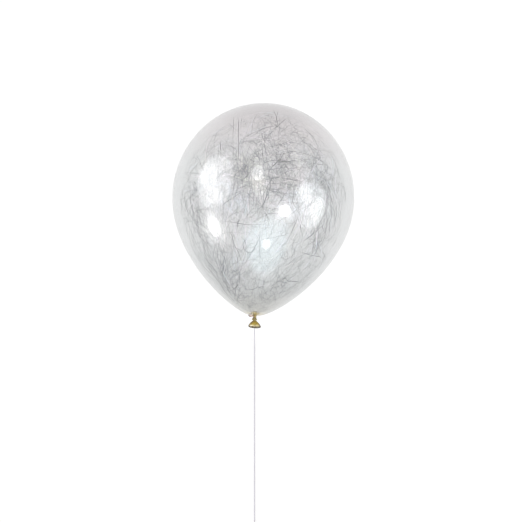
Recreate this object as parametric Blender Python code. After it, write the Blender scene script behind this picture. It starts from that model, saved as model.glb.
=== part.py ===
"""A clear balloon of the 12-inch class, tied off and lying on its side, with a string tied round its neck.

Metres, +Z up. The balloon's axis runs along Y, with the crown at +Y and the tail at -Y. The origin is on the floor,
below the middle of the balloon's own box. The floor is at z = 0.
"""

import math

import bmesh
import bpy
import numpy as np

# Envelope
BALLOON_DIAMETER = 0.280
CROWN_HEIGHT = 0.1465  # from the widest ring to the crown
BODY_DEPTH = 0.1815  # from the widest ring to the foot, where the film gathers into the knot
FLAT_SPOT_WIDTH = 0.046  # across the spot that the balloon rests on
BODY_TAPER = 0.33  # how much leaner than an ellipse the lower body is
FOOT_TAPER = 0.10  # the extra narrowing close to the foot

# Knot, waist and tail
KNOT_DIAMETER = 0.0120
KNOT_HEIGHT = 0.0034  # what shows of the knot below the foot
KNOT_SHIFT = 0.0038  # the knot's roll stands out on the -X side
WAIST_DIAMETER = 0.0046
WAIST_LENGTH = 0.0033
FLARE_LENGTH = 0.0088
LIP_DIAMETER = 0.0197
LIP_BEAD = 0.0026  # thickness of the rolled rim
TAIL_WALL = 0.0007
MOUTH_DEPTH = 0.0080  # of the open mouth inside the flare
TAIL_LEAN = math.radians(4.2)  # sideways, to +X
TAIL_DROOP = math.radians(12.0)  # the lip's tilt towards the floor

# String
STRING_DIAMETER = 0.0012
STRING_LENGTH = 1.2
KNOT_TURNS = 2
TIE_KNOT_WIDTH = 0.0034
STRING_RUN = 0.360  # along the floor, from below the waist to the coil
STRING_RISE = 0.017  # the last stretch, which climbs to the coil's first turn
STRING_POINT_SPACING = 0.0062

# The hanging part of the string's route, as (distance along the floor, share of the height that it hangs from).
HANG_ROUTE = [
    (0.0000, 1.000),
    (0.0001, 0.903),
    (0.0004, 0.766),
    (0.0012, 0.615),
    (0.0030, 0.470),
    (0.0065, 0.334),
    (0.0125, 0.212),
    (0.0215, 0.114),
    (0.0335, 0.048),
    (0.0480, 0.013),
]
LANDING = 0.064  # where the string first lies flat
FLOOR_POINTS = 10

# Coil
COIL_COLUMNS = 4
COIL_MEAN_DIAMETER = 0.0132
TURN_PITCH = 0.001224  # from turn to turn, a hair over the string's diameter
TIE_THICKNESS = 0.0008
TIE_WIDTH = 0.0026

GAP = 0.0003  # between neighbouring solids

SEGMENTS = 52
CROWN_ROWS = 14
BODY_ROWS = 21
KNOT_SEGMENTS = 28
COIL_SEGMENTS = 32

RADIUS = BALLOON_DIAMETER / 2
AXIS_HEIGHT = math.sqrt(RADIUS**2 - (FLAT_SPOT_WIDTH / 2) ** 2)
KNOT_RADIUS = KNOT_DIAMETER / 2
WAIST_RADIUS = WAIST_DIAMETER / 2
STRING_RADIUS = STRING_DIAMETER / 2
BEAD_RADIUS = LIP_BEAD / 2
WAIST_MIDDLE = KNOT_HEIGHT + WAIST_LENGTH / 2  # below the foot
BEAD_MIDDLE = KNOT_HEIGHT + WAIST_LENGTH + FLARE_LENGTH  # below the foot
BEAD_RING_RADIUS = LIP_DIAMETER / 2 - BEAD_RADIUS
TIE_KNOT_DEPTH = WAIST_RADIUS + GAP + TIE_KNOT_WIDTH / 2  # its middle, below the waist's axis and clear of the waist
HANG_HEIGHT = AXIS_HEIGHT - TIE_KNOT_DEPTH - TIE_KNOT_WIDTH / 2 - GAP  # where the free string starts
FIRST_TURN_HEIGHT = TIE_THICKNESS + GAP + STRING_RADIUS

# The tail's lowest point is on the drooping lip, so the lip's tilt counts in the length of the balloon.
LIP_REACH = BEAD_MIDDLE + BEAD_RING_RADIUS * math.tan(TAIL_DROOP) + BEAD_RADIUS
FOOT_Y = (LIP_REACH - BODY_DEPTH - CROWN_HEIGHT) / 2


def smooth(value):
    """0 to 1 with a level start and end: three times the square less twice the cube."""
    value = np.clip(value, 0.0, 1.0)
    return value * value * (3 - 2 * value)


def make_material(name, colour, roughness, transmission=0.0):
    material = bpy.data.materials.new(name)
    material.use_nodes = True
    shader = material.node_tree.nodes["Principled BSDF"]
    shader.inputs["Base Color"].default_value = (*colour, 1.0)
    shader.inputs["Roughness"].default_value = roughness
    shader.inputs["Metallic"].default_value = 0.0
    shader.inputs["Transmission Weight"].default_value = transmission
    material.diffuse_color = (*colour, 1.0)
    return material


def add_object(name, data, material, location=(0.0, 0.0, 0.0)):
    made = bpy.data.objects.new(name, data)
    made.location = location
    data.materials.append(material)
    bpy.context.scene.collection.objects.link(made)
    return made


def mesh_from_rings(name, rings, first_pole=None, last_pole=None, closed=False):
    """A skin over rings of points, each an array of (segments, 3). Poles close its ends, or closed joins them."""
    count, segments, _ = rings.shape
    points = rings.reshape(-1, 3)
    rows = np.arange(count if closed else count - 1)[:, None]
    turn = np.arange(segments)[None, :]
    after = (rows + 1) % count
    beside = (turn + 1) % segments
    corners = [rows * segments + turn, rows * segments + beside, after * segments + beside, after * segments + turn]
    faces = np.stack(np.broadcast_arrays(*corners), axis=-1).reshape(-1, 4).tolist()
    turn = turn.ravel()
    beside = beside.ravel()
    for pole, first in ((first_pole, 0), (last_pole, (count - 1) * segments)):
        if pole is not None:
            faces += [[len(points), first + a, first + b] for a, b in zip(turn.tolist(), beside.tolist())]
            points = np.vstack([points, pole])
    mesh = bpy.data.meshes.new(name)
    mesh.from_pydata(points.tolist(), [], faces)
    return mesh


def finish_mesh(mesh, crease=math.radians(40)):
    work = bmesh.new()
    work.from_mesh(mesh)
    bmesh.ops.recalc_face_normals(work, faces=work.faces)
    work.to_mesh(mesh)
    work.free()
    mesh.shade_smooth()
    mesh.set_sharp_from_angle(angle=crease)


def body_radius(rise):
    """The lower body's radius, where rise is the share of the way from its widest ring to its foot."""
    ellipse = np.sqrt(1 - rise**2)
    return RADIUS * ellipse * (1 - BODY_TAPER * rise**2 - FOOT_TAPER * rise**8)


def body_rise_at(radius):
    """Where the lower body has shrunk to this radius, by halving the span that holds it."""
    low, high = 0.5, 1.0
    for _ in range(50):
        middle = (low + high) / 2
        low, high = (middle, high) if body_radius(middle) > radius else (low, middle)
    return low


def envelope_profile():
    """Rows from the crown down to the knot: distance from the foot towards the crown, and radius."""
    turn = np.linspace(math.pi / 2, 0, CROWN_ROWS + 1)[1:]
    crown = np.stack([BODY_DEPTH + CROWN_HEIGHT * np.sin(turn), RADIUS * np.cos(turn)], axis=1)
    last = math.asin(body_rise_at(KNOT_RADIUS))
    rise = np.sin(np.linspace(0, last, BODY_ROWS + 1)[1:])
    body = np.stack([BODY_DEPTH * (1 - rise), body_radius(rise)], axis=1)
    return np.vstack([crown, body])


def tail_profile():
    """Rows from the knot to the bottom of the mouth: distance from the foot, radius, knot share and droop share."""
    round_off = np.sin(np.linspace(0, math.pi / 2, 6)[1:])
    knot = np.stack(
        [-KNOT_HEIGHT * round_off, WAIST_RADIUS + (KNOT_RADIUS - WAIST_RADIUS) * np.sqrt(1 - round_off**2)], axis=1
    )
    wall_angle = math.acos(TAIL_WALL / 2 / BEAD_RADIUS)
    flare_end = BEAD_RING_RADIUS + TAIL_WALL / 2
    flare_length = FLARE_LENGTH - BEAD_RADIUS * math.sin(wall_angle)
    share = np.linspace(0, 1, 9)[:-1]
    flare = np.stack(
        [
            -KNOT_HEIGHT - WAIST_LENGTH - flare_length * share,
            WAIST_RADIUS + (flare_end - WAIST_RADIUS) * smooth(share**0.85),
        ],
        axis=1,
    )
    turn = np.linspace(-wall_angle, math.pi + wall_angle, 12)
    bead = np.stack([-BEAD_MIDDLE - BEAD_RADIUS * np.sin(turn), BEAD_RING_RADIUS + BEAD_RADIUS * np.cos(turn)], axis=1)
    outside = np.vstack([flare, bead[:1]])
    run = np.gradient(outside, axis=0)
    normal = np.stack([run[:, 1], -run[:, 0]], axis=1) / np.linalg.norm(run, axis=1)[:, None]
    inside = (outside - TAIL_WALL * normal)[::-1][1:]
    inside = inside[inside[:, 0] < -BEAD_MIDDLE + MOUTH_DEPTH]
    rows = np.vstack([knot, flare, bead, inside])
    knot_share = np.sqrt(np.clip(1 - (rows[:, 0] / KNOT_HEIGHT) ** 2, 0, 1))
    droop_share = smooth((-rows[:, 0] - KNOT_HEIGHT) / (BEAD_MIDDLE - KNOT_HEIGHT))
    return rows, knot_share, droop_share


def build_balloon(material):
    envelope = envelope_profile()
    tail, tail_knot, tail_droop = tail_profile()
    rows = np.vstack([envelope, tail])
    # The film near the foot is drawn to the knot's side a little, so that the knot's roll has no step above it.
    drawn = np.exp(-(((envelope[:, 1] - KNOT_RADIUS) / KNOT_DIAMETER) ** 2))
    knot_share = np.concatenate([drawn, tail_knot])
    droop = np.tan(TAIL_DROOP) * np.concatenate([np.zeros(len(envelope)), tail_droop])
    turn = np.arange(SEGMENTS) * 2 * math.pi / SEGMENTS
    x = rows[:, 1:] * np.cos(turn) - KNOT_SHIFT * knot_share[:, None]
    x = x + np.tan(TAIL_LEAN) * np.maximum(-rows[:, :1], 0)
    z = rows[:, 1:] * np.sin(turn)
    y = rows[:, :1] - droop[:, None] * z
    rings = np.stack([x, y, z], axis=-1)
    crown = np.array([0.0, BODY_DEPTH + CROWN_HEIGHT, 0.0])
    mesh = mesh_from_rings("balloon", rings, crown, rings[-1].mean(axis=0))
    work = bmesh.new()
    work.from_mesh(mesh)
    cut = bmesh.ops.bisect_plane(
        work,
        geom=work.verts[:] + work.edges[:] + work.faces[:],
        plane_co=(0, 0, -AXIS_HEIGHT),
        plane_no=(0, 0, -1),
        clear_outer=True,
    )
    edges = [part for part in cut["geom_cut"] if isinstance(part, bmesh.types.BMEdge)]
    bmesh.ops.contextual_create(work, geom=edges)
    work.to_mesh(mesh)
    work.free()
    finish_mesh(mesh)
    return add_object("balloon", mesh, material, (0, FOOT_Y, AXIS_HEIGHT))


def waist_centre():
    return np.array([math.tan(TAIL_LEAN) * WAIST_MIDDLE, FOOT_Y - WAIST_MIDDLE, AXIS_HEIGHT])


def build_string_knot(material):
    """The string's turns round the waist, side by side, joined with the small knot below them."""
    inner = WAIST_RADIUS + GAP
    bump = np.linspace(-math.pi / 2, math.pi / 2, 6)
    starts = (np.arange(KNOT_TURNS) - (KNOT_TURNS - 1) / 2) * STRING_DIAMETER
    along = (starts[:, None] + STRING_RADIUS * np.sin(bump)).ravel()
    out = np.tile(inner + STRING_RADIUS + STRING_RADIUS * np.cos(bump), KNOT_TURNS)
    along = np.concatenate([along, [along[-1], along[0]]])
    out = np.concatenate([out, [inner, inner]])
    turn = np.arange(KNOT_SEGMENTS) * 2 * math.pi / KNOT_SEGMENTS
    rings = np.stack(
        [out[:, None] * np.cos(turn), np.repeat(along[:, None], len(turn), axis=1), out[:, None] * np.sin(turn)],
        axis=-1,
    )
    mesh = mesh_from_rings("string_knot", rings, closed=True)
    join_doubles(mesh)
    finish_mesh(mesh)
    made = add_object("string_knot", mesh, material, tuple(waist_centre()))
    lump_mesh = bpy.data.meshes.new("knot_lump")
    work = bmesh.new()
    bmesh.ops.create_uvsphere(work, u_segments=16, v_segments=10, radius=TIE_KNOT_WIDTH / 2)
    work.to_mesh(lump_mesh)
    work.free()
    lump = add_object("knot_lump", lump_mesh, material)
    lump.location = tuple(waist_centre() - np.array([0, 0, TIE_KNOT_DEPTH]))
    lump.hide_render = True
    lump.display_type = "WIRE"
    join = made.modifiers.new("join knot", "BOOLEAN")
    join.operation = "UNION"
    join.object = lump
    return made


def join_doubles(mesh):
    """Joins the points where two neighbouring turns meet."""
    work = bmesh.new()
    work.from_mesh(mesh)
    bmesh.ops.remove_doubles(work, verts=work.verts, dist=1e-6)
    work.to_mesh(mesh)
    work.free()


def string_route():
    """The whole route from the knot to the coil, as (distance along the floor, height above it)."""
    hanging = [(along, share * HANG_HEIGHT) for along, share in HANG_ROUTE]
    lying = [(along, STRING_RADIUS) for along in np.linspace(LANDING, STRING_RUN - STRING_RISE, FLOOR_POINTS)]
    return hanging + lying + [(STRING_RUN, FIRST_TURN_HEIGHT)]


def smooth_curve(points, spacing):
    """Points a spacing apart on the curve through the given ones: a cubic between each pair, its slope at each point
    that of the line through its neighbours."""
    points = np.array(points, float)
    reach = np.concatenate([[0], np.cumsum(np.linalg.norm(np.diff(points, axis=0), axis=1))])
    slope = np.gradient(points, reach, axis=0)
    fine = np.linspace(0, reach[-1], 4000)
    at = np.clip(np.searchsorted(reach, fine, side="right") - 1, 0, len(points) - 2)
    step = (reach[at + 1] - reach[at])[:, None]
    t = (fine - reach[at])[:, None] / step
    curve = (
        (2 * t**3 - 3 * t**2 + 1) * points[at]
        + (t**3 - 2 * t**2 + t) * step * slope[at]
        + (3 * t**2 - 2 * t**3) * points[at + 1]
        + (t**3 - t**2) * step * slope[at + 1]
    )
    length = np.concatenate([[0], np.cumsum(np.linalg.norm(np.diff(curve, axis=0), axis=1))])
    count = int(round(length[-1] / spacing)) + 1
    even = np.linspace(0, length[-1], count)
    return np.stack([np.interp(even, length, curve[:, k]) for k in range(curve.shape[1])], axis=1)


def floor_frame():
    """Directions on the floor: along the string, and across it."""
    along = np.array([math.sin(TAIL_LEAN), -math.cos(TAIL_LEAN), 0.0])
    across = np.array([math.cos(TAIL_LEAN), math.sin(TAIL_LEAN), 0.0])
    return along, across


def coil_layers():
    """Layers of turns that take up the length left after the route."""
    steps = np.diff(smooth_curve(string_route(), STRING_POINT_SPACING), axis=0)
    rest = STRING_LENGTH - np.linalg.norm(steps, axis=1).sum()
    turns = rest / (math.pi * COIL_MEAN_DIAMETER)
    return max(1, math.ceil(turns / COIL_COLUMNS))


def coil_sizes():
    """Half the width and half the height of the coil's bundle, and the height of its middle."""
    half_width = ((COIL_COLUMNS - 1) * TURN_PITCH + STRING_DIAMETER) / 2
    half_height = ((coil_layers() - 1) * TURN_PITCH + STRING_DIAMETER) / 2
    return half_width, half_height, TIE_THICKNESS + GAP + half_height


def coil_centre():
    """The string's line touches the outermost turn, so the coil's middle lies that turn's radius beside the line."""
    along, across = floor_frame()
    half_width, _, height = coil_sizes()
    turn_radius = COIL_MEAN_DIAMETER / 2 + half_width - STRING_RADIUS
    waist = waist_centre() * (1, 1, 0)
    return waist + along * STRING_RUN + across * turn_radius + np.array([0, 0, height])


def build_string(material):
    """The tube from the knot to the coil's solid, which it meets where its line comes in beside the coil."""
    along, _ = floor_frame()
    half_width, _, _ = coil_sizes()
    outer = COIL_MEAN_DIAMETER / 2 + half_width
    clear = math.sqrt((outer + GAP) ** 2 - (outer - STRING_DIAMETER) ** 2)
    route = smooth_curve(string_route(), STRING_POINT_SPACING / 8)
    route = smooth_curve(route[route[:, 0] < STRING_RUN - clear], STRING_POINT_SPACING)
    floor = waist_centre() * (1, 1, 0)
    points = floor + route[:, :1] * along
    points[:, 2] = np.maximum(route[:, 1], STRING_RADIUS)
    curve = bpy.data.curves.new("string", "CURVE")
    curve.dimensions = "3D"
    curve.bevel_depth = STRING_RADIUS
    curve.bevel_resolution = 2
    curve.use_fill_caps = True
    spline = curve.splines.new("POLY")
    spline.points.add(len(points) - 1)
    spline.points.foreach_set("co", np.hstack([points, np.ones((len(points), 1))]).astype(np.float32).ravel())
    return add_object("string", curve, material)


def rounded_rectangle(half_width, half_height, corner, steps):
    """Points round a rectangle whose corners are quarter circles."""
    turn = np.linspace(0, math.pi / 2, steps)
    points = []
    for quarter in range(4):
        angle = turn + quarter * math.pi / 2
        middle_x = (half_width - corner) * (1 if quarter in (0, 3) else -1)
        middle_y = (half_height - corner) * (1 if quarter < 2 else -1)
        points.append(np.stack([middle_x + corner * np.cos(angle), middle_y + corner * np.sin(angle)], axis=1))
    return np.vstack(points)


def build_coil(material):
    """The coil's outer shape: a ring whose section is the bundle of turns, with the string's own rounding."""
    half_width, half_height, _ = coil_sizes()
    section = rounded_rectangle(half_width, half_height, STRING_RADIUS, 3)
    turn = np.arange(COIL_SEGMENTS) * 2 * math.pi / COIL_SEGMENTS
    out = COIL_MEAN_DIAMETER / 2 + section[:, 0]
    rings = np.stack(
        [out[:, None] * np.cos(turn), out[:, None] * np.sin(turn), np.repeat(section[:, 1:], len(turn), axis=1)],
        axis=-1,
    )
    mesh = mesh_from_rings("string_coil", rings, closed=True)
    finish_mesh(mesh)
    return add_object("string_coil", mesh, material, tuple(coil_centre()))


def build_tie(name, turn, material):
    """A flat band round the coil's bundle, at this angle of the coil."""
    half_width, half_height, _ = coil_sizes()
    inner, outer = (
        rounded_rectangle(half_width + spare, half_height + spare, STRING_RADIUS + spare, 4)
        for spare in (GAP, GAP + TIE_THICKNESS)
    )
    rings = []
    for line, side in ((inner, -1), (outer, -1), (outer, 1), (inner, 1)):
        across = np.full(len(line), side * TIE_WIDTH / 2)
        rings.append(np.stack([COIL_MEAN_DIAMETER / 2 + line[:, 0], across, line[:, 1]], axis=1))
    mesh = mesh_from_rings(name, np.array(rings), closed=True)
    finish_mesh(mesh)
    made = add_object(name, mesh, material, tuple(coil_centre()))
    made.rotation_euler = (0, 0, turn)
    return made


def main():
    for old in list(bpy.data.objects):
        bpy.data.objects.remove(old, do_unlink=True)
    latex = make_material("clear latex", (0.86, 0.86, 0.88), 0.08, transmission=0.85)
    thread = make_material("white string", (0.86, 0.86, 0.87), 0.75)
    build_balloon(latex)
    build_string_knot(thread)
    build_string(thread)
    build_coil(thread)
    for letter, turn in (("a", math.radians(50)), ("b", math.radians(230))):
        build_tie(f"coil_tie_{letter}", turn, thread)


main()
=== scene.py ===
"""A clear confetti balloon of the 12-inch class, on its side on a pale floor and seen from straight above.

The film, its knotted amber neck, the tinsel inside and the string are surfaces worked out with numpy.
Metres, +Z up; the balloon's axis runs along Y, with the crown at +Y.
"""

import math

import bpy
import numpy as np
from mathutils import Matrix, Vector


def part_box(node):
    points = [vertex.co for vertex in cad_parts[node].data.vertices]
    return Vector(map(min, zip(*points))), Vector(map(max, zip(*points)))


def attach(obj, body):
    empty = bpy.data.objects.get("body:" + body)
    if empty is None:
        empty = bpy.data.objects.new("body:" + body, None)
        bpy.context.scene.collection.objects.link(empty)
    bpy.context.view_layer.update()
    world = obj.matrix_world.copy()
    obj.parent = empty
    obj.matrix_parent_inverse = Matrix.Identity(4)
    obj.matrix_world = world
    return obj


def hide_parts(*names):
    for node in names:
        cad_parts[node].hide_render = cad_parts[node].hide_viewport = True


bl_info = {
    "name": "Confetti Balloon",
    "version": (1, 0, 0),
    "blender": (4, 5, 0),
    "location": "3D View > Sidebar > Balloon",
    "description": "A clear balloon full of fine tinsel, with its knotted neck and its string",
    "category": "Add Mesh",
}

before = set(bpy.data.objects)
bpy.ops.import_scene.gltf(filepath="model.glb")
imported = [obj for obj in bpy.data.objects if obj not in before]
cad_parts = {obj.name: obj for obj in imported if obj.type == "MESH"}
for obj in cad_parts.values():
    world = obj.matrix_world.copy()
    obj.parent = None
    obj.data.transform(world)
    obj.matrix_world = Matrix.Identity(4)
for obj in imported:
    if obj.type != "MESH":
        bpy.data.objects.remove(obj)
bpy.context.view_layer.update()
BODY = "root"

FILM_LOW, FILM_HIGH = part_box("balloon")
COIL_LOW, COIL_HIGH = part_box("string_coil")

# Shape of the envelope, as in the solid
RADIUS = (FILM_HIGH.x - FILM_LOW.x) / 2
CROWN_HEIGHT = 0.1465
BODY_DEPTH = 0.1815
BODY_TAPER = 0.33
FOOT_TAPER = 0.10
FLAT_SPOT_WIDTH = 0.046
AXIS_HEIGHT = math.sqrt(RADIUS**2 - (FLAT_SPOT_WIDTH / 2) ** 2)
FOOT_Y = FILM_HIGH.y - CROWN_HEIGHT - BODY_DEPTH
EQUATOR_Y = FOOT_Y + BODY_DEPTH

# The film's grid, and how its pleats gather at the foot
FILM_COLUMNS = 160
FILM_ROWS_UP = 44
FILM_ROWS_DOWN = 58
FILM_END_RADIUS = 0.0030
GATHER_DEPTH = 0.05
GATHER_REACH = 0.006
PLEATS = 9

# Knot, waist and tail, as in the solid
KNOT_HEIGHT = 0.0034
WAIST_RADIUS = 0.0023
WAIST_LENGTH = 0.0033
FLARE_LENGTH = 0.0088
LIP_DIAMETER = 0.0197
LIP_BEAD = 0.0026
TAIL_WALL = 0.0007
MOUTH_DEPTH = 0.0080
TAIL_LEAN = math.radians(4.2)
TAIL_DROOP = math.radians(12.0)
COLUMN_TOP = 0.0075
COLUMN_RADIUS = 0.0026
BEAD_RADIUS = LIP_BEAD / 2
BEAD_RING_RADIUS = LIP_DIAMETER / 2 - BEAD_RADIUS
BEAD_MIDDLE = KNOT_HEIGHT + WAIST_LENGTH + FLARE_LENGTH
TAIL_COLUMNS = 96
COLUMN_ROWS, WAIST_ROWS, FLARE_ROWS, BEAD_ROWS = 14, 7, 23, 22
WAIST_MIDDLE = KNOT_HEIGHT + WAIST_LENGTH / 2

# The knot's roll, a ring round the gathered column
ROLL_RING = 0.0040
ROLL_SHIFT = 0.0034
ROLL_DROP = 0.0007
ROLL_TILT = math.radians(28)
ROLL_THINNEST = 0.0006
ROLL_LOBE = 0.0023
ROLL_COLUMNS = 96
ROLL_SIDES = 40

# String, as in the solids
STRING_DIAMETER = 0.0012
STRING_RADIUS = STRING_DIAMETER / 2
STRING_LENGTH = 1.2
THREAD_PLIES = 3
THREAD_GROOVE = 0.18
THREAD_PITCH = 0.0045
THREAD_SIDES = 12
STRING_RUN = 0.360
STRING_RISE = 0.017
LANDING = 0.064
FLOOR_POINTS = 10
COIL_COLUMNS = 4
COIL_MEAN_DIAMETER = 0.0132
TURN_PITCH = 0.001224
TURN_POINTS = 48
STEP_SHARE = 0.1
MOST_LAYERS = 6
KNOT_TURNS = 2.25
KNOT_POINTS = 120
KNOT_LOOP_SIZE = 0.00038
TIE_TURNS = 3
TIE_POINTS = 180
TIE_SIDES = 10
TIE_SQUARENESS = 5
TIE_PLACES = {"a": math.radians(50), "b": math.radians(230)}
TIE_THICKNESS = 0.0008
TIE_WIDTH = 0.0026
TIE_KNOT_WIDTH = 0.0034
GAP = 0.0003
HANG_HEIGHT = AXIS_HEIGHT - WAIST_RADIUS - 2 * GAP - TIE_KNOT_WIDTH
FIRST_TURN_HEIGHT = TIE_THICKNESS + GAP + STRING_RADIUS
# The hanging string: distance from its knot along the floor, and height as a share of the knot's
HANG_ROUTE = [
    (0.0, 1.0),
    (0.0001, 0.903),
    (0.0004, 0.766),
    (0.0012, 0.615),
    (0.003, 0.47),
    (0.0065, 0.334),
    (0.0125, 0.212),
    (0.0215, 0.114),
    (0.0335, 0.048),
    (0.048, 0.013),
]

# The photograph's frame
PHOTO_WIDTH = 510
PHOTO_HEIGHT = 522
PHOTO_BALLOON_WIDTH = 182
PHOTO_FOOT = (254.6, 316.0)
PIXEL = 2 * RADIUS / PHOTO_BALLOON_WIDTH
PICTURE_TURN = TAIL_LEAN
PICTURE_RIGHT = np.array([math.cos(PICTURE_TURN), math.sin(PICTURE_TURN), 0.0])
PICTURE_UP = np.array([-math.sin(PICTURE_TURN), math.cos(PICTURE_TURN), 0.0])
# The point of the floor below the picture's middle
PICTURE_MIDDLE = (
    np.array([0.0, FOOT_Y, 0.0])
    + (PHOTO_WIDTH / 2 - PHOTO_FOOT[0]) * PIXEL * PICTURE_RIGHT
    + (PHOTO_FOOT[1] - PHOTO_HEIGHT / 2) * PIXEL * PICTURE_UP
)
# Rounds after which a place that depends on its own height has settled
ROUNDS = 4

WHITE = (1.0, 1.0, 1.0)
# Sockets of a Mix node that hold colours
MIX_FIRST, MIX_SECOND, MIX_RESULT = 6, 7, 2


def smooth(value):
    """0 to 1 with a level start and end: three times the square less twice the cube."""
    value = np.clip(value, 0.0, 1.0)
    return value * value * (3 - 2 * value)


def unit(vectors):
    return vectors / np.maximum(np.linalg.norm(vectors, axis=-1, keepdims=True), 1e-12)


def reach_along(points):
    """Distance along a line of points, from its first one."""
    return np.concatenate([[0], np.cumsum(np.linalg.norm(np.diff(points, axis=0), axis=1))])


# Meshes


def mesh_of(name, points, faces):
    """A mesh of points (n, 3) and a list of face arrays, each (m, corners)."""
    corners = np.concatenate([part.ravel() for part in faces]).astype(np.int32)
    sizes = np.concatenate([np.full(len(part), part.shape[1]) for part in faces])
    starts = np.concatenate([[0], np.cumsum(sizes)[:-1]]).astype(np.int32)
    mesh = bpy.data.meshes.new(name)
    mesh.vertices.add(len(points))
    mesh.vertices.foreach_set("co", np.asarray(points, np.float32).ravel())
    mesh.loops.add(len(corners))
    mesh.loops.foreach_set("vertex_index", corners)
    mesh.polygons.add(len(starts))
    mesh.polygons.foreach_set("loop_start", starts)
    mesh.update(calc_edges=True)
    mesh.shade_smooth()
    return mesh


def grid_faces(rows, columns, close_rows=False, first=0):
    """Quads over closed rows of points, numbered row by row, from first on."""
    row = np.arange(rows if close_rows else rows - 1)[:, None]
    column = np.arange(columns)[None, :]
    here = row * columns
    after = (row + 1) % rows * columns
    beside = (column + 1) % columns
    corners = np.broadcast_arrays(here + column, here + beside, after + beside, after + column)
    return first + np.stack(corners, axis=-1).reshape(-1, 4)


def pole_faces(pole, ring, turned):
    """Triangles from a pole to a ring of point numbers."""
    beside = np.roll(ring, -1)
    pair = (beside, ring) if turned else (ring, beside)
    return np.stack([np.full(len(ring), pole), *pair], axis=1)


def revolved(points, turned=False, first=0):
    """Points and faces of a closed skin, from rings (rows, columns, 3) and a pole at each end."""
    rows, columns, _ = points.shape
    poles = np.stack([points[0].mean(axis=0), points[-1].mean(axis=0)])
    quads = grid_faces(rows, columns, first=first)
    ring = first + np.arange(columns)
    last = ring + (rows - 1) * columns
    pole = first + rows * columns
    faces = [quads, pole_faces(pole, ring, True), pole_faces(pole + 1, last, False)]
    if turned:
        faces = [part[:, ::-1] for part in faces]
    return np.vstack([points.reshape(-1, 3), poles]), faces


def swept(path, radius, turn, side, other):
    """Rings of points round a path, at the radius from it and turned from side towards other."""
    return (
        path[:, None, :]
        + (radius * np.cos(turn))[..., None] * side[:, None, :]
        + (radius * np.sin(turn))[..., None] * other[:, None, :]
    )


def tube_points(path, side, radius, sides, groove=0.0, plies=1, twist=0.0):
    """Rings round a path, where side holds a direction across the path at each point. The section is a
    circle that the plies' grooves cut into, and it turns by twist radians for each metre of path."""
    along = unit(np.gradient(path, axis=0))
    side = unit(side - (side * along).sum(axis=-1, keepdims=True) * along)
    turn = np.arange(sides)[None, :] * 2 * math.pi / sides
    lobes = np.abs(np.cos(plies / 2 * (turn - twist * reach_along(path)[:, None])))
    return swept(path, radius * (1 - groove + groove * lobes), turn, side, np.cross(along, side))


def thread_points(path, side, radius):
    """Rings of twisted thread round a path."""
    twist = 2 * math.pi / THREAD_PITCH
    return tube_points(path, side, radius, THREAD_SIDES, THREAD_GROOVE, THREAD_PLIES, twist)


def placed(data):
    """A new object in the scene, with this data and its name."""
    made = bpy.data.objects.new(data.name, data)
    bpy.context.scene.collection.objects.link(made)
    return made


def add_piece(mesh, materials, replaced=()):
    """A finished piece on the balloon's body and the CAD nodes that it replaces."""
    made = placed(mesh)
    for material in materials:
        mesh.materials.append(material)
    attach(made, BODY)
    if replaced:
        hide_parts(*replaced)
    return made


# Materials


def set_sockets(node, values):
    """Puts plain values on a node's own sockets, by their names."""
    for name, value in values.items():
        node.inputs[name].default_value = value


def shader_of(name, values):
    """A new material, its node tree, and its main shader with these values set."""
    material = bpy.data.materials.new(name)
    material.use_nodes = True
    shader = material.node_tree.nodes["Principled BSDF"]
    set_sockets(shader, values)
    return material, material.node_tree, shader


def object_noise(tree, scale, detail, roughness, stretch=(1, 1, 1)):
    """A noise on the object's own coordinates."""
    place = tree.nodes.new("ShaderNodeTexCoord")
    mapping = tree.nodes.new("ShaderNodeMapping")
    noise = tree.nodes.new("ShaderNodeTexNoise")
    set_sockets(mapping, {"Scale": stretch})
    set_sockets(noise, {"Scale": scale, "Detail": detail, "Roughness": roughness})
    tree.links.new(place.outputs["Object"], mapping.inputs["Vector"])
    tree.links.new(mapping.outputs["Vector"], noise.inputs["Vector"])
    return noise.outputs["Fac"]


def ramp(tree, value, stops):
    """A colour ramp over a value: stops are (place, colour)."""
    made = tree.nodes.new("ShaderNodeValToRGB")
    while len(made.color_ramp.elements) < len(stops):
        made.color_ramp.elements.new(0.5)
    for element, (place, colour) in zip(made.color_ramp.elements, stops):
        element.position = place
        element.color = (*colour, 1.0)
    tree.links.new(value, made.inputs["Fac"])
    return made.outputs["Color"]


def bump(tree, value, strength, distance, shader):
    made = tree.nodes.new("ShaderNodeBump")
    set_sockets(made, {"Strength": strength, "Distance": distance})
    tree.links.new(value, made.inputs["Height"])
    tree.links.new(made.outputs["Normal"], shader.inputs["Normal"])


def height_along(tree, start, end):
    """0 to 1 as the object's Y goes from start to end."""
    place = tree.nodes.new("ShaderNodeTexCoord")
    split = tree.nodes.new("ShaderNodeSeparateXYZ")
    spread = tree.nodes.new("ShaderNodeMapRange")
    set_sockets(spread, {"From Min": start, "From Max": end})
    tree.links.new(place.outputs["Object"], split.inputs["Vector"])
    tree.links.new(split.outputs["Y"], spread.inputs["Value"])
    return spread.outputs["Result"]


def product(tree, first, second):
    """One colour times another."""
    both = tree.nodes.new("ShaderNodeMix")
    both.data_type = "RGBA"
    both.blend_type = "MULTIPLY"
    both.inputs["Factor"].default_value = 1.0
    tree.links.new(first, both.inputs[MIX_FIRST])
    tree.links.new(second, both.inputs[MIX_SECOND])
    return both.outputs[MIX_RESULT]


def by_slant(tree, stops):
    """A colour ramp over how far the surface turns from the eye: light lost at a slant in the clear film,
    painted shade towards the outline of the neck and the knot.
    """
    slant = tree.nodes.new("ShaderNodeLayerWeight")
    return ramp(tree, slant.outputs["Facing"], stops)


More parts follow.
